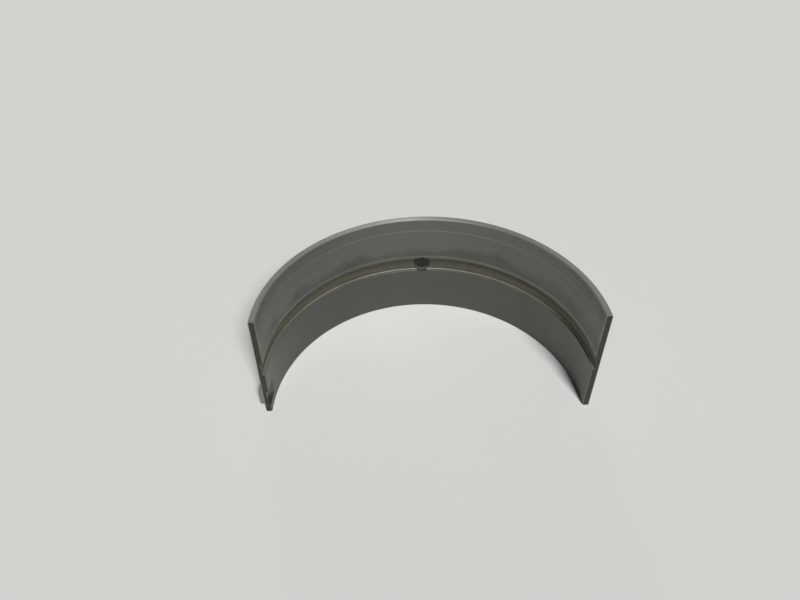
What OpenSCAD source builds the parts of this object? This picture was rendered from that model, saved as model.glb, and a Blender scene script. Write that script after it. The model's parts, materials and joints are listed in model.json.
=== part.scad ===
// Half shell of a plain engine bearing: thin lined steel bent to a half round, with an oil groove
// round the middle of the lining, an oil hole at the crown and a locating lug pressed out of one end.
// It stands on a side face with the opening to the front. Millimetres; the origin is on the bearing
// axis in the lower side face, +Z runs along the axis and the crown lies at +Y.

/* [Shell] */
// Diameter of the back, which seats in the housing
back_d = 100; // [80:0.5:130]
// Thickness of the wall
wall_t = 2; // [1.7:0.05:3]
// Width between the side faces
shell_w = 37.5; // [28:0.5:60]

/* [Edges] */
// Bevel between a side face and the lining
bore_bevel = 0.35; // [0.1:0.05:0.6]
// Bevel between a side face and the back
back_bevel = 0.3; // [0.1:0.05:0.6]
// Bevel on both long edges of a parting face
parting_bevel = 0.2; // [0.1:0.05:0.25]

/* [Oil groove] */
// Width of the groove at the lining
groove_w = 5; // [4:0.1:7]
// Depth of the groove below the lining
groove_t = 1; // [0.6:0.05:1.2]
// Radius in the bottom corners of the groove
groove_r = 0.35; // [0.1:0.05:0.5]

/* [Oil hole] */
// Diameter of the oil hole
hole_d = 5.8; // [4:0.1:7]
// Width of the bevel that clears the hole's rim at the lining
hole_bevel = 0.15; // [0.1:0.05:0.9]

/* [Locating lug] */
// Width of the lug along the bearing
lug_w = 6; // [4:0.1:8]
// Height of the lug's middle above the lower side face
lug_z = 6; // [5:0.1:10]
// Distance the lug stands out of the back
lug_h = 1.3; // [0.8:0.05:1.6]
// Depth of the nick left in the lining behind the lug
nick_t = 1; // [0.5:0.05:1.2]
// Distance from the parting plane to the end of the lug's flat top
lug_flat = 2.8; // [2:0.1:3.5]
// Length of the slope from the flat top back into the shell
lug_run = 4; // [2:0.1:5]
// Set-back of the lug's end behind the parting plane
lug_gap = 0.3; // [0.2:0.05:0.6]

/* [Hidden] */
$fn = 180;
back_r = back_d / 2;
bore_r = back_r - wall_t;
mid_z = shell_w / 2;
hole_r = hole_d / 2;
lug_end = lug_flat + lug_run;
// Distance that a cut runs past the face it starts from
past = 1;

// Cross-section of the bent wall with its four bevelled side edges
module wall_section() {
    polygon([
        [bore_r + bore_bevel, 0],
        [back_r - back_bevel, 0],
        [back_r, back_bevel],
        [back_r, shell_w - back_bevel],
        [back_r - back_bevel, shell_w],
        [bore_r + bore_bevel, shell_w],
        [bore_r, shell_w - bore_bevel],
        [bore_r, bore_bevel]
    ]);
}

// Cross-section of the groove cut, square at the lining and round in the bottom corners
module groove_section() {
    translate([bore_r - past, -groove_w / 2])
        square([past + groove_t - groove_r, groove_w]);
    translate([bore_r - past, groove_r - groove_w / 2])
        square([past + groove_t, groove_w - 2 * groove_r]);
    for (side = [-1, 1])
        translate([bore_r + groove_t - groove_r, side * (groove_w / 2 - groove_r)])
            circle(groove_r);
}

// Bevel cut along the edges of one parting face, drawn across the bearing
module parting_bevels() {
    polygon([
        [bore_r - past, -past],
        [bore_r + parting_bevel + past, -past],
        [bore_r - past, parting_bevel + past]
    ]);
    polygon([
        [back_r + past, -past],
        [back_r - parting_bevel - past, -past],
        [back_r + past, parting_bevel + past]
    ]);
}

// Wedge that stands out from a round of radius r at the lug's end and runs back under it
module wedge(r, out, start) {
    polygon([
        [-(r - wall_t / 2), start],
        [-(r + out), start],
        [-(r + out), lug_flat],
        [wall_t / 4 - sqrt(r * r - lug_end * lug_end), lug_end]
    ]);
}

// Places what it holds across the width of the lug
module at_lug() {
    translate([0, 0, lug_z - lug_w / 2])
        linear_extrude(lug_w)
            children();
}

// Half round of wall with its parting faces bevelled
module half_round() {
    difference() {
        rotate_extrude(angle = 180)
            wall_section();
        for (end = [0, 1])
            mirror([end, 0, 0])
                translate([0, 0, -past])
                    linear_extrude(shell_w + 2 * past)
                        parting_bevels();
    }
}

// Oil hole through the crown, cleared by a cone where it breaks the edges of the groove
module oil_hole() {
    translate([0, bore_r - past, mid_z])
        rotate([-90, 0, 0]) {
            cylinder(h = wall_t + 2 * past, r = hole_r);
            cylinder(h = hole_bevel + past, r1 = hole_r + hole_bevel + past, r2 = hole_r);
        }
}

module bearing_shell() {
    color([0.37, 0.37, 0.35])
        difference() {
            union() {
                half_round();
                at_lug()
                    wedge(back_r, lug_h, lug_gap);
            }
            translate([0, 0, mid_z])
                rotate_extrude()
                    groove_section();
            oil_hole();
            at_lug()
                wedge(bore_r, nick_t, -past);
        }
}

bearing_shell();
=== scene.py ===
import json
import math

import bpy
import numpy as np
from mathutils import Matrix


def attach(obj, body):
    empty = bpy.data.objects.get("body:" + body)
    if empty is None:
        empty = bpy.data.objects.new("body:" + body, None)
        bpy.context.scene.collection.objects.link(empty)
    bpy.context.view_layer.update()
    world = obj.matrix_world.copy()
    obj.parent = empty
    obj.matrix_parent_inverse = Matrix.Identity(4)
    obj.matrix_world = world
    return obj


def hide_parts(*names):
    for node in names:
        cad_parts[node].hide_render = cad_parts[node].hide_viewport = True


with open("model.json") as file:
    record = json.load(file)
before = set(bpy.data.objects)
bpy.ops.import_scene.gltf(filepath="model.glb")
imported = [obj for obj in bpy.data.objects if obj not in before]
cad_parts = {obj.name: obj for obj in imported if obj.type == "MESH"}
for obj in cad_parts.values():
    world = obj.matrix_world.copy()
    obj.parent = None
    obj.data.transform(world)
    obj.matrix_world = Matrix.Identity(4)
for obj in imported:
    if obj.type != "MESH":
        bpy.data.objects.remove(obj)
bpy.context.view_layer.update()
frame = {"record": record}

# Bearing shell, blank
# Steel strip with a thin tin-aluminium lining bonded to it, cut to length and pressed to a half round.
# Its side edges are bevelled and an oil groove is milled round the middle of the lining. Sizes in mm.
MM = 0.001
mounts = {mount["name"]: mount for mount in frame["record"]["mounts"]}
BACK_R = mounts["housing_seat"]["dims"]["r_mm"]
BORE_R = mounts["journal_bore"]["dims"]["r_mm"]
WIDTH = mounts["upper_side_face"]["pos_m"][2] / MM
WALL = BACK_R - BORE_R
BORE_BEVEL = 0.35
BACK_BEVEL = 0.3
EDGE_ROUND = 0.07
GROOVE_W = 5.0
GROOVE_T = 1.0
GROOVE_FILLET = 0.35
GROOVE_LIP = 0.04
groove_low, groove_high = (WIDTH - GROOVE_W) / 2, (WIDTH + GROOVE_W) / 2

# A band of the lining just above the groove is painted paler, as a painted highlight above the groove's
# lip.
BAND_Z = groove_high + 0.9
BAND_REACH = 0.6

# The lug's heights come here too, because the lower land has closer points along the lug's two sides.
LUG_W = 6.0
LUG_Z = mounts["locating_lug"]["pos_m"][2] / MM
lug_low, lug_high = LUG_Z - LUG_W / 2, LUG_Z + LUG_W / 2

# Spacing of the mesh's points: steps in a rounding, points along the lands, across the lug's sides and
# across the band, and the distances from an edge to the points next to it.
CORNER_STEPS = 5
LAND_STEP = 0.8
LUG_SIDE_POINTS = np.array([-0.3, -0.12, -0.06, 0.0, 0.06, 0.12, 0.18, 0.24, 0.4])
BAND_POINTS = np.array([-0.4, 0.0, 0.4])
FLOOR_POINTS = 9
FROM_EDGE = 0.9
FROM_GROOVE = 0.5
FROM_LIP = 0.3
FROM_FILLET = 0.1
FROM_BEVEL = 0.18
FROM_CORNER = 0.6
LEAST_GAP = 0.004


def rounded(corners, radii):
    """A line through corners with each inner corner turned on a circle that touches both its sides.

    The circle's centre lies on the bisector of the corner, at radius over the sine of half its angle.
    """
    corners, radii = np.array(corners, float), np.array(radii, float)[:, None]
    before = corners[:-2] - corners[1:-1]
    after = corners[2:] - corners[1:-1]
    before /= np.linalg.norm(before, axis=1, keepdims=True)
    after /= np.linalg.norm(after, axis=1, keepdims=True)
    half_angle = np.arccos(np.clip((before * after).sum(1, keepdims=True), -1, 1)) / 2
    bisector = (before + after) / np.linalg.norm(before + after, axis=1, keepdims=True)
    centre = corners[1:-1] + bisector * radii / np.sin(half_angle)
    reach = (math.pi / 2 - half_angle) * np.linspace(-1, 1, CORNER_STEPS + 1)
    across = before - after
    across /= np.linalg.norm(across, axis=1, keepdims=True)
    turn = -np.cos(reach)[..., None] * bisector[:, None] - np.sin(reach)[..., None] * across[:, None]
    arcs = (centre[:, None] + radii[..., None] * turn).reshape(-1, 2)
    return np.vstack([corners[:1], arcs, corners[-1:]])


def side_edge(face_r, wall_r, bevel):
    """Half of the lower side face: along the face from face_r, up the bevel and on up the wall."""
    bevel_r = wall_r + math.copysign(bevel, face_r - wall_r)
    corners = [(face_r, 0), (bevel_r, 0), (wall_r, bevel), (wall_r, bevel + FROM_BEVEL)]
    return rounded(corners, [EDGE_ROUND, EDGE_ROUND])


def straight(r, z):
    """Points at the heights z on a wall of constant radius r."""
    return np.column_stack([np.full(len(z), r), z])


def spaced(low, high, step):
    """Even values from low to high, both included, as near to a step apart as they divide."""
    return np.linspace(low, high, 1 + round((high - low) / step))


def mirrored(line):
    """A line's mirror image about the middle of the width, walked back: each z becomes the width less z."""
    return line[::-1] * [1, -1] + [0, WIDTH]


lower_land = np.concatenate([
    spaced(FROM_EDGE, lug_low - LAND_STEP, LAND_STEP),
    lug_low + LUG_SIDE_POINTS,
    spaced(lug_low + FROM_EDGE, lug_high - FROM_EDGE, LAND_STEP),
    lug_high - LUG_SIDE_POINTS[::-1],
    spaced(lug_high + LAND_STEP, groove_low - FROM_GROOVE, LAND_STEP)])
upper_land = np.concatenate([
    BAND_Z + BAND_POINTS,
    spaced(BAND_Z + FROM_EDGE, WIDTH - FROM_EDGE, LAND_STEP)])
floor_r = BORE_R + GROOVE_T
floor_z = np.linspace(groove_low + FROM_GROOVE, groove_high - FROM_GROOVE, FLOOR_POINTS)
groove_wall = rounded(
    [(BORE_R, groove_low - FROM_LIP), (BORE_R, groove_low), (floor_r, groove_low),
     (floor_r, groove_low + GROOVE_FILLET + FROM_FILLET)], [GROOVE_LIP, GROOVE_FILLET])
inner_edge = side_edge(BORE_R + FROM_CORNER, BORE_R, BORE_BEVEL)
outer_edge = side_edge(BACK_R - FROM_CORNER, BACK_R, BACK_BEVEL)
lining = np.vstack([
    inner_edge, straight(BORE_R, lower_land), groove_wall, straight(floor_r, floor_z),
    mirrored(groove_wall), straight(BORE_R, upper_land), mirrored(inner_edge)])

# The back has one point opposite each of the lining's, at nearly the same height. Along the groove's walls,
# where the lining's points share one height, the back's step away from the groove.
ladder = LEAST_GAP * np.arange(len(lining))
steps = lining[:, 1] - ladder
below = np.minimum.accumulate(steps[::-1])[::-1] + ladder - LEAST_GAP / 2
above = np.maximum.accumulate(steps) + ladder + LEAST_GAP / 2
back_z = np.where(lining[:, 1] < WIDTH / 2, below, above)[len(inner_edge):-len(inner_edge)]
back = np.vstack([outer_edge, straight(BACK_R, back_z), mirrored(outer_edge)])

# Bearing shell, ends
# The parting faces are broached flat and their long edges rounded over. A punch presses the locating lug
# out of the back at one end, which leaves a nick of the same outline in the lining.
PARTING_ROUND = 0.2
LUG_H = 1.3
LUG_FLAT = 2.8
LUG_RUN = 4.0
LUG_GAP = 0.3
NICK_T = 1.0
PRESS_ROUND = 0.12
SIDE_SHEAR = np.array([-0.02, 0.2])
END_SHEAR = np.array([-0.03, 0.12])
lug_end_y = LUG_FLAT + LUG_RUN

# Where the mesh's rings lie: in mm from the parting face near the two ends, closer together on the
# roundings, at the lug's sheared end and where its slope starts, and in degrees round the crown, closer
# together at the oil hole.
lug_end_run = LUG_GAP + np.array([-0.05, -0.02, 0.02, 0.05, 0.08, 0.12, 0.2])
lug_top_run = spaced(0.8, LUG_FLAT - 0.4, 0.4)
slope_start_run = spaced(LUG_FLAT - 0.24, LUG_FLAT + 0.24, 0.08)
slope_run = spaced(LUG_FLAT + 0.5, lug_end_y + 0.7, 0.3)
plain_run = np.concatenate([[0.26, 0.4, 0.8, 1.6], spaced(2.8, 8.8, 1.2)])
before_hole = spaced(12, 82.5, 1.5)
at_hole = spaced(83, 97, 0.5)
after_hole = spaced(98, 170, 1.5)
quarter = np.linspace(0, math.pi / 2, CORNER_STEPS + 1)
end_run = PARTING_ROUND * (1 - np.cos(quarter))
end_inset = PARTING_ROUND * (1 - np.sin(quarter))
lug_side = np.concatenate([end_run, lug_end_run, lug_top_run, slope_start_run, slope_run])
plain_side = np.concatenate([end_run, plain_run])
crown = np.radians(np.concatenate([before_hole, at_hole, after_hole]))
angle = np.concatenate([plain_side / BACK_R, crown, math.pi - lug_side[::-1] / BACK_R])
inset = np.concatenate([end_inset, np.zeros(len(angle) - 2 * len(quarter)), end_inset[::-1]])


def pressed(r, out, theta):
    """Radius of the wedge that the punch makes over a round of radius r: lesser of a flat top and a slope.

    Both are straight lines across the bearing, so each is a constant over the cosine of the angle to it.
    They meet in a rounding, and the slope ends a quarter of the wall inside the round.
    """
    from_end = math.pi - theta
    top_x = r + out
    fall = top_x - math.sqrt(r * r - lug_end_y * lug_end_y) + WALL / 4
    flat = top_x / np.cos(from_end)
    slope = (LUG_RUN * top_x + fall * LUG_FLAT) / (LUG_RUN * np.cos(from_end) + fall * np.sin(from_end))
    wedge = (flat + slope - np.sqrt((flat - slope) ** 2 + PRESS_ROUND ** 2)) / 2
    return np.where(from_end < 2 * lug_end_y / r, np.maximum(wedge, r), r)


def ramp(x, low, high):
    """Smooth step from 0 at low to 1 at high."""
    t = np.clip((x - low) / (high - low), 0, 1)
    return t * t * (3 - 2 * t)


def across_lug(z):
    """1 between the lug's sheared sides and 0 outside them: a smooth step up times a smooth step down."""
    return ramp(z, *(lug_low + SIDE_SHEAR)) * ramp(-z, *(SIDE_SHEAR - lug_high))


clear_of_end = ramp((math.pi - angle) * BACK_R, *(LUG_GAP + END_SHEAR))
nick = (pressed(BORE_R, NICK_T, angle) - BORE_R)[:, None] * across_lug(lining[:, 1])
lug = ((pressed(BACK_R, LUG_H, angle) - BACK_R) * clear_of_end)[:, None] * across_lug(back[:, 1])
lining_r = np.maximum(lining[:, 0], BORE_R + np.maximum(nick, inset[:, None]))
back_r = np.minimum(back[:, 0], BACK_R - inset[:, None]) + lug

ring_r = np.hstack([lining_r, back_r[:, ::-1]])
ring_z = np.concatenate([lining[:, 1], back[::-1, 1]])
rings, around = ring_r.shape
points = np.stack([
    ring_r * np.cos(angle)[:, None], ring_r * np.sin(angle)[:, None], np.tile(ring_z, (rings, 1))], -1)

# Faces run from ring to ring, and the two parting faces close the ends between lining and back. There the
# second point from each side face lies in line with the first, so quads pass it by and a triangle takes it.
half = len(lining)
number = np.arange(rings * around).reshape(rings, around)
ahead = np.roll(number, -1, axis=1)
walls = np.stack([number[:-1], ahead[:-1], ahead[1:], number[1:]], -1).reshape(-1, 4)
inner, outer = np.arange(half), np.arange(around)[:half - 1:-1]
paired = np.r_[0, 2:half - 2, half - 1]
start, stop = paired[:-1], paired[1:]
end_quads = np.stack([inner[start], outer[start], outer[stop], inner[stop]], -1)
passed = np.array([[0, 2, 1], [half - 3, half - 1, half - 2]])
end_triangles = np.vstack([inner[passed], outer[passed[:, [1, 0, 2]]]])
plain_end = [number[0, end_quads], number[0, end_triangles]]
lug_end = [number[-1, end_quads[:, ::-1]], number[-1, end_triangles[:, ::-1]]]
end_faces = plain_end + lug_end
faces = walls.tolist() + [face for group in end_faces for face in group.tolist()]

# Each strip of the section has the finish of the tool that left it, here by its number in the list below.
LINING, GROOVE, SIDE, PARTING, BACK, DRILLED, BEVEL = range(7)
section_r = ring_r[rings // 2]
strip_r = (section_r + np.roll(section_r, -1)) / 2
strip_z = (ring_z + np.roll(ring_z, -1)) / 2
from_side = np.minimum(strip_z, WIDTH - strip_z)
bevel_z = np.where(strip_r < BORE_R + WALL / 2, BORE_BEVEL, BACK_BEVEL)
finish = np.where(np.arange(around) < half - 1, LINING, BACK)
cut_in = (strip_r > BORE_R + GROOVE_LIP) & (abs(strip_z - WIDTH / 2) < GROOVE_W / 2 + GROOVE_LIP)
finish[cut_in & (finish == LINING)] = GROOVE
finish[from_side < bevel_z - EDGE_ROUND / 3] = BEVEL
finish[from_side < EDGE_ROUND / 2] = SIDE
finishes = np.concatenate([np.tile(finish, rings - 1), np.full(len(faces) - len(walls), PARTING)])

# Wear and sheen is how far each point is painted paler. Wear runs fully along the rounded edges of the
# ends, less where the section turns a corner, and hardly on the groove's walls, which the cutter's flanks
# leave smoother than its floor. Along the middle of the band above the groove it is nearly full, as a
# painted highlight. The parting faces have none.
BAND_SHEEN = 0.9
CORNER_WEAR = 0.4
CORNER_TURN = 0.3
FLANK_WEAR = 0.05
FLANK_HALF = 0.4
END_GAIN = 3
heading = np.arctan2(np.roll(section_r, -1) - section_r, np.roll(ring_z, -1) - ring_z)
corner = abs((heading - np.roll(heading, 1) + math.pi) % (2 * math.pi) - math.pi)
inside = np.arange(around) < half
# Painted highlight: a band just above the groove is made paler through the wear and sheen attribute.
sheen_band = BAND_SHEEN * np.clip(1 - abs(ring_z - BAND_Z) / BAND_REACH, 0, 1) * inside
halfway_in = abs(section_r - BORE_R - GROOVE_T / 2) < FLANK_HALF
flank = FLANK_WEAR * halfway_in * (abs(ring_z - WIDTH / 2) < GROOVE_W) * inside
burnish_and_sheen = np.maximum.reduce([np.clip(corner / CORNER_TURN, 0, CORNER_WEAR), sheen_band, flank])
wear = np.maximum(burnish_and_sheen, np.clip(END_GAIN * inset / PARTING_ROUND, 0, 1)[:, None])
wear[[0, -1]] = 0

# The unrolled map holds metres along the bend and along the section, for marks that follow the wall. On
# the parting faces it holds metres along the width and across the wall.
closed_r, closed_z = np.append(section_r, section_r[0]), np.append(ring_z, ring_z[0])
section_run = np.concatenate([[0], np.cumsum(np.hypot(np.diff(closed_r), np.diff(closed_z)))])
bend_run = np.tile((angle * BORE_R)[:, None], (1, around + 1))
unrolled = np.stack([bend_run, np.tile(section_run, (rings, 1))], -1)
wall_uv = np.stack([unrolled[:-1, :-1], unrolled[:-1, 1:], unrolled[1:, 1:], unrolled[1:, :-1]], 2)
end_map = np.stack([ring_z, ring_r[0]], -1)
end_corners = np.concatenate([group.ravel() for group in end_faces]) % around
face_uv = np.vstack([wall_uv.reshape(-1, 2), end_map[end_corners]])

mesh = bpy.data.meshes.new("bearing_shell_metal")
mesh.from_pydata(points.reshape(-1, 3) * MM, [], faces)
mesh.polygons.foreach_set("material_index", finishes.astype(np.int32))
mesh.uv_layers.new(name="unrolled").data.foreach_set("uv", (face_uv * MM).ravel())
mesh.attributes.new("wear", "FLOAT", "POINT").data.foreach_set("value", wear.ravel())
mesh.shade_smooth()
shell = bpy.data.objects.new("bearing_shell_metal", mesh)
bpy.context.scene.collection.objects.link(shell)

# Bearing shell, finishes
# All are bare metal. What tells them apart is the tool that left each face, so each has that tool's marks.
# They are drawn 0.3 to 1.1 mm wide, which is coarser than the tools leave them, so that they show.
WORN_AND_SHEEN = "#a6a69c"
CLOUD = 12.0
TONE_LOW, TONE_HIGH = 0.32, 0.68
GLOSS_LOW, GLOSS_HIGH = 0.3, 0.7
GLOSS_SPREAD = 0.06
QUARTER_TURN = 0.25
COLOUR_A, COLOUR_B, COLOUR_OUT = 6, 7, 2  # sockets of a Mix node that is set to colours


def linear(code):
    """sRGB hex to linear red, green, blue and alpha, by the standard's straight foot and 2.4 power."""
    c = np.array([int(code[i:i + 2], 16) for i in (1, 3, 5)]) / 255
    return (*np.where(c <= 0.04045, c / 12.92, ((c + 0.055) / 1.055) ** 2.4).tolist(), 1.0)


def add(tree, kind, inputs=None, **settings):
    """Adds a node, sets its settings, and sets or links its inputs."""
    made = tree.nodes.new(kind)
    for name, value in settings.items():
        setattr(made, name, value)
    for name, value in (inputs or {}).items():
        if isinstance(value, bpy.types.NodeSocket):
            tree.links.new(value, made.inputs[name])
        else:
            made.inputs[name].default_value = value
    return made


def tooled_metal(name, pale, deep, metallic, roughness, along, across, depth, stretch=0.4):
    """Bare metal with tool marks: noise stretched along the marks, as streaks in colour, gloss and height.

    along, across and depth are the length, width and height of one mark in mm, and along follows the bend.
    Softer clouds vary the tone, and worn edges and the painted highlight that the wear and sheen attribute
    holds are paler. stretch draws highlights out across the marks.
    """
    made = bpy.data.materials.new(name)
    made.use_nodes = True
    tree = made.node_tree
    wall = add(tree, "ShaderNodeUVMap", uv_map="unrolled").outputs["UV"]
    size = (1 / (along * MM), 1 / (across * MM), 1)
    sized = add(tree, "ShaderNodeMapping", {"Vector": wall, "Scale": size}).outputs["Vector"]
    marks = add(tree, "ShaderNodeTexNoise", {
        "Vector": sized, "Scale": 1.0, "Detail": 4.0, "Roughness": 0.7}).outputs["Fac"]
    place = add(tree, "ShaderNodeTexCoord", name="place").outputs["Object"]
    cloud = add(tree, "ShaderNodeTexNoise", {
        "Vector": place, "Scale": 1 / (CLOUD * MM), "Detail": 5.0, "Roughness": 0.6},
        name="cloud").outputs["Fac"]
    both = add(tree, "ShaderNodeMix", {"Factor": 0.5, "A": marks, "B": cloud}).outputs["Result"]
    tone = add(tree, "ShaderNodeValToRGB", {"Fac": both})
    low, high = tone.color_ramp.elements
    low.position, low.color = TONE_LOW, linear(deep)
    high.position, high.color = TONE_HIGH, linear(pale)
    rubbed_and_sheen = add(tree, "ShaderNodeAttribute", attribute_name="wear").outputs["Fac"]
    worn_and_sheen = add(tree, "ShaderNodeMath", {0: rubbed_and_sheen, 1: cloud}, operation="MULTIPLY").outputs["Value"]
    paint = add(tree, "ShaderNodeMix", {
        "Factor": worn_and_sheen, COLOUR_A: tone.outputs["Color"], COLOUR_B: linear(WORN_AND_SHEEN)}, data_type="RGBA")
    gloss = add(tree, "ShaderNodeMapRange", {
        "Value": both, "From Min": GLOSS_LOW, "From Max": GLOSS_HIGH,
        "To Min": roughness + GLOSS_SPREAD, "To Max": roughness - GLOSS_SPREAD})
    relief = add(tree, "ShaderNodeBump", {"Height": marks, "Distance": depth * MM})
    lie = add(tree, "ShaderNodeTangent", direction_type="UV_MAP", uv_map="unrolled")
    metal = tree.nodes["Principled BSDF"]
    metal.inputs["Metallic"].default_value = metallic
    metal.inputs["Anisotropic"].default_value = stretch
    metal.inputs["Anisotropic Rotation"].default_value = QUARTER_TURN if along > across else 0.0
    tree.links.new(paint.outputs[COLOUR_OUT], metal.inputs["Base Color"])
    tree.links.new(gloss.outputs["Result"], metal.inputs["Roughness"])
    tree.links.new(relief.outputs["Normal"], metal.inputs["Normal"])
    tree.links.new(lie.outputs["Tangent"], metal.inputs["Tangent"])
    return made


def stain(made, mask, code, blend="MIX"):
    """Lays a colour over a finish, or multiplies the finish by it, by the share that mask gives."""
    tree = made.node_tree
    colour = tree.nodes["Principled BSDF"].inputs["Base Color"]
    bare = colour.links[0].from_socket
    laid = add(tree, "ShaderNodeMix", {
        "Factor": mask, COLOUR_A: bare, COLOUR_B: linear(code)}, data_type="RGBA", blend_type=blend)
    tree.links.new(laid.outputs[COLOUR_OUT], colour)


def shade_step_mask(made, wave, sway, low, high):
    """Smooth step from 0 to 1 across an uneven line, as height plus sway times wave goes from low to high.

    Lengths are in mm, and where high is the lesser of the two the mask is 1 below the line.
    """
    tree = made.node_tree
    place = tree.nodes["place"].outputs["Object"]
    height = add(tree, "ShaderNodeSeparateXYZ", {"Vector": place}).outputs["Z"]
    swayed = add(tree, "ShaderNodeMath", {0: wave, 1: sway * MM, 2: height}, operation="MULTIPLY_ADD")
    step = add(tree, "ShaderNodeMapRange", {
        "Value": swayed.outputs["Value"], "From Min": low * MM, "From Max": high * MM},
        interpolation_type="SMOOTHSTEP")
    return step.outputs["Result"]


# The bored lining gives the eye a matt even grey with faint lines round the bore. All below an uneven line
# is painted a shade darker, as painted shade for the dim floor that the lower lining mirrors, and one paler
# ring runs round near the top.
SHADE_WAVE = 18.0
SHADE_SWAY = 16.0
RING_Z = 32.9
RING_HALF = 0.1
lining_metal = tooled_metal(
    "tin_aluminium_bored", pale="#71726e", deep="#686965", metallic=0.95, roughness=0.42,
    along=50, across=0.7, depth=0.004, stretch=0.25)
tree = lining_metal.node_tree
place = tree.nodes["place"].outputs["Object"]
wave = add(tree, "ShaderNodeTexNoise", {
    "Vector": place, "Scale": 1 / (SHADE_WAVE * MM), "Detail": 2.0}).outputs["Fac"]
# Painted shade: the lining below the uneven line is multiplied a shade darker.
painted_shade_below = shade_step_mask(lining_metal, wave, SHADE_SWAY, low=35.4, high=30.9)
stain(lining_metal, painted_shade_below, "#dededd", "MULTIPLY")
height = add(tree, "ShaderNodeSeparateXYZ", {"Vector": place}).outputs["Z"]
ring = add(tree, "ShaderNodeMath", {0: height, 1: RING_Z * MM, 2: RING_HALF * MM}, operation="COMPARE")
stain(lining_metal, ring.outputs["Value"], "#8b8c84")

# The groove is milled through the lining into the steel. It looks browner and rougher, crossed by the
# cutter's marks, and its upper half is painted darker, as painted shadow of the groove's upper lip.
LIP_SHADOW_SWAY = 4.0
groove_metal = tooled_metal(
    "steel_milled", pale="#6a6a5f", deep="#5c5c52", metallic=0.75, roughness=0.6,
    along=1.1, across=6, depth=0.005)
wave = groove_metal.node_tree.nodes["cloud"].outputs["Fac"]
# Painted shadow: the groove's upper half, under its lip, is multiplied darker.
lip_shadow = shade_step_mask(groove_metal, wave, LIP_SHADOW_SWAY, low=19.45, high=21.75)
stain(groove_metal, lip_shadow, "#d0d0c8", "MULTIPLY")

# The side faces are turned bright. Their fine lines follow the bend and draw the light out across it.
side_metal = tooled_metal(
    "steel_turned", pale="#999993", deep="#84847e", metallic=0.85, roughness=0.38,
    along=40, across=0.4, depth=0.003, stretch=0.85)

# The parting faces are broached along the bearing and plain. Their dark is partly painted shade, a colour
# set darker than the steel's own for the shade they mirror. A paler edge shows the lining.
LINING_T = 0.35
end_metal = tooled_metal(
    "steel_broached", pale="#56544a", deep="#45433a", metallic=0.95, roughness=0.5,
    along=20, across=0.4, depth=0.004)
tree = end_metal.node_tree
place = tree.nodes["place"].outputs["Object"]
level_place = add(tree, "ShaderNodeVectorMath", {0: place, 1: (1, 1, 0)}, operation="MULTIPLY")
radius = add(tree, "ShaderNodeVectorMath", {0: level_place.outputs["Vector"]}, operation="LENGTH")
bonded = add(tree, "ShaderNodeMath", {
    0: radius.outputs["Value"], 1: (BORE_R + LINING_T) * MM}, operation="LESS_THAN")
stain(end_metal, bonded.outputs["Value"], "#656660")

# The back keeps the even dull sheen of rolled strip under a thin flash of tin, with streaks along the bend.
back_metal = tooled_metal(
    "steel_rolled", pale="#94948f", deep="#84847f", metallic=0.95, roughness=0.44,
    along=30, across=0.9, depth=0.004)

# The drilled wall of the hole has fine rings. Its colours are dark and it is painted nearly black, as
# painted shade for the dark of the hole, but for a rim at the back, which is left bare and catches the
# light.
SHADE_COVER = 0.85
UNSHADED_RIM = 0.5
hole_metal = tooled_metal(
    "steel_drilled", pale="#57564f", deep="#47463f", metallic=0.95, roughness=0.66,
    along=4, across=0.3, depth=0.004)
tree = hole_metal.node_tree
place = tree.nodes["place"].outputs["Object"]
outwards = add(tree, "ShaderNodeSeparateXYZ", {"Vector": place}).outputs["Y"]
within = add(tree, "ShaderNodeMath", {0: outwards, 1: (BACK_R - UNSHADED_RIM) * MM}, operation="LESS_THAN")
shade_cover = add(tree, "ShaderNodeMath", {0: within.outputs["Value"], 1: SHADE_COVER}, operation="MULTIPLY")
# Painted shade: all of the hole's wall but the rim at the back is laid nearly black.
stain(hole_metal, shade_cover.outputs["Value"], "#2b2a26")

# The bevels are scraped, and their short coarse marks scatter the light, so that they look grey and soft.
bevel_metal = tooled_metal(
    "steel_scraped", pale="#80807a", deep="#6f6f69", metallic=0.8, roughness=0.7,
    along=6, across=0.3, depth=0.006)

finish_list = [lining_metal, groove_metal, side_metal, end_metal, back_metal, hole_metal, bevel_metal]
for each in finish_list:
    shell.data.materials.append(each)

# Oil hole
# Drilled through the crown into the groove, and a little wider than the groove, so that it breaks both its
# walls. Its rims are bevelled, inside and out. The cutter is a turned profile, taken out of the wall.
HOLE_R = mounts["oil_hole"]["dims"]["r_mm"]
HOLE_BEVEL = 0.15
HOLE_ROUND = 0.1
BURR = 0.12
BURR_ROUND = 0.05
PAST_BORE = 1.5
PAST_BACK = 1.0
TURN_STEPS = 96
SHARP_ANGLE = 32

drill = rounded(
    [(HOLE_R + HOLE_BEVEL + PAST_BORE, BORE_R - PAST_BORE), (HOLE_R, BORE_R + HOLE_BEVEL),
     (HOLE_R, BACK_R - BURR), (HOLE_R + BURR + PAST_BACK, BACK_R + PAST_BACK)], [HOLE_ROUND, BURR_ROUND])
# Half a step of turn keeps the cutter's points off the lines of the shell's own mesh.
spin = (np.arange(TURN_STEPS) + 0.5) * 2 * math.pi / TURN_STEPS
turned = np.stack([
    drill[:, :1] * np.cos(spin), np.tile(drill[:, 1:], (1, TURN_STEPS)),
    WIDTH / 2 + drill[:, :1] * np.sin(spin)], -1)
centres = [[0, BORE_R - PAST_BORE, WIDTH / 2], [0, BACK_R + PAST_BACK, WIDTH / 2]]
index = np.arange(len(drill) * TURN_STEPS).reshape(-1, TURN_STEPS)
beside = np.roll(index, -1, axis=1)
sides = np.stack([index[:-1], index[1:], beside[1:], beside[:-1]], -1).reshape(-1, 4)
inner_cap = np.stack([np.full(TURN_STEPS, index.size), index[0], beside[0]], -1)
outer_cap = np.stack([np.full(TURN_STEPS, index.size + 1), beside[-1], index[-1]], -1)

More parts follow.
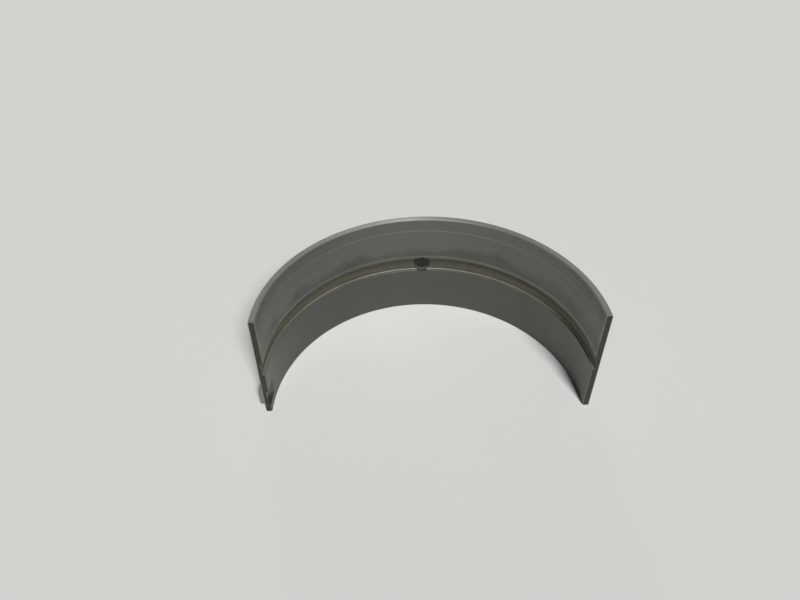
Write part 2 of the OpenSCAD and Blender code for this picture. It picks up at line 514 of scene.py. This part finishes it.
# Its unrolled map holds metres round the hole and along the drill, and its two caps are left at zero.
turn_run = HOLE_R * np.append(spin, spin[0] + 2 * math.pi)
drill_run = np.append(0, np.cumsum(np.linalg.norm(np.diff(drill, axis=0), axis=1)))
drill_map = np.stack(np.meshgrid(turn_run, drill_run), -1)
side_uv = np.stack([drill_map[:-1, :-1], drill_map[1:, :-1], drill_map[1:, 1:], drill_map[:-1, 1:]], 2)
cap_uv = np.zeros((inner_cap.size + outer_cap.size, 2))
drill_uv = np.vstack([side_uv.reshape(-1, 2), cap_uv])

cutter_mesh = bpy.data.meshes.new("oil_hole_cutter")
cutter_mesh.from_pydata(
    np.vstack([turned.reshape(-1, 3), centres]) * MM, [],
    sides.tolist() + inner_cap.tolist() + outer_cap.tolist())
cutter_mesh.polygons.foreach_set("material_index", np.full(len(cutter_mesh.polygons), DRILLED, np.int32))
cutter_mesh.uv_layers.new(name="unrolled").data.foreach_set("uv", (drill_uv * MM).ravel())
cutter_mesh.shade_smooth()
for each in finish_list:
    cutter_mesh.materials.append(each)
cutter = bpy.data.objects.new("oil_hole_cutter", cutter_mesh)
bpy.context.scene.collection.objects.link(cutter)
cut = shell.modifiers.new("oil hole", "BOOLEAN")
cut.operation, cut.solver, cut.object = "DIFFERENCE", "EXACT", cutter
shell.data = bpy.data.meshes.new_from_object(shell.evaluated_get(bpy.context.evaluated_depsgraph_get()))
shell.modifiers.clear()
bpy.data.objects.remove(cutter)
bpy.data.meshes.remove(cutter_mesh)
bpy.data.meshes.remove(mesh)
shell.data.set_sharp_from_angle(angle=math.radians(SHARP_ANGLE))
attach(shell, "root")
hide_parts("bearing_shell")

# Floor
# A plain pale matt board, large enough to fill the view.
FLOOR_HALF = 3000.0
board = bpy.data.materials.new("pale_board")
board.use_nodes = True
board_surface = board.node_tree.nodes["Principled BSDF"].inputs
board_surface["Base Color"].default_value = linear("#dad9d6")
board_surface["Roughness"].default_value = 0.9
board_surface["Specular IOR Level"].default_value = 0.0
floor_mesh = bpy.data.meshes.new("floor")
floor_corners = np.array([(-1, -1, 0), (1, -1, 0), (1, 1, 0), (-1, 1, 0)]) * FLOOR_HALF * MM
floor_mesh.from_pydata(floor_corners, [], [(0, 1, 2, 3)])
floor_mesh.materials.append(board)
floor = bpy.data.objects.new("floor", floor_mesh)
bpy.context.scene.collection.objects.link(floor)

# Light
# A broad lamp high to the front right lights the lining and a weak low one lights the back. The room gives
# matt surfaces little light, but is as pale as the floor where it is seen, straight or mirrored in metal.
ROOM_FILL = 0.03
scene = bpy.context.scene
scene.view_settings.view_transform = "Standard"
world = bpy.data.worlds.new("room")
world.use_nodes = True
tree = world.node_tree
ray = add(tree, "ShaderNodeLightPath").outputs
straight_or_mirrored = add(tree, "ShaderNodeMath", {
    0: ray["Is Camera Ray"], 1: ray["Is Glossy Ray"]}, operation="ADD").outputs["Value"]
in_view = add(tree, "ShaderNodeMath", {
    0: straight_or_mirrored, 1: ray["Is Transmission Ray"]}, operation="ADD").outputs["Value"]
unscattered = add(tree, "ShaderNodeMath", {
    0: in_view, 1: ray["Diffuse Depth"]}, operation="SUBTRACT", use_clamp=True).outputs["Value"]
level = add(tree, "ShaderNodeMapRange", {"Value": unscattered, "To Min": ROOM_FILL, "To Max": 1.0})
tree.nodes["Background"].inputs["Color"].default_value = linear("#d3d2cf")
tree.links.new(level.outputs["Result"], tree.nodes["Background"].inputs["Strength"])
scene.world = world


def lamp(name, energy, width, tilt, turn):
    """A far lamp that is width degrees across, tilted from straight above and turned about the upright."""
    made = bpy.data.lights.new(name, "SUN")
    made.energy, made.angle = energy, math.radians(width)
    hung = bpy.data.objects.new(name, made)
    hung.rotation_euler = (math.radians(tilt), 0, math.radians(turn))
    scene.collection.objects.link(hung)


lamp("front_lamp", energy=3.95, width=16, tilt=45, turn=16)
lamp("rear_lamp", energy=0.5, width=20, tilt=84, turn=188)

# Camera
# Held about 230 mm from the crown, looking down into the opening. Lengths in mm, angles in degrees.
LENS = 29.602
EYE = (-10.58, -130.95, 159.84)
LOOK_DOWN = 41.307
TURN = -0.9385
ROLL = -0.4
NEAREST = 10.0
camera_data = bpy.data.cameras.new("camera")
camera_data.lens = LENS
camera_data.clip_start = NEAREST * MM
camera = bpy.data.objects.new("camera", camera_data)
camera.matrix_world = (
    Matrix.Translation([length * MM for length in EYE])
    @ Matrix.Rotation(math.radians(TURN), 4, "Z")
    @ Matrix.Rotation(math.radians(90 - LOOK_DOWN), 4, "X")
    @ Matrix.Rotation(math.radians(ROLL), 4, "Z"))
scene.collection.objects.link(camera)
scene.camera = camera
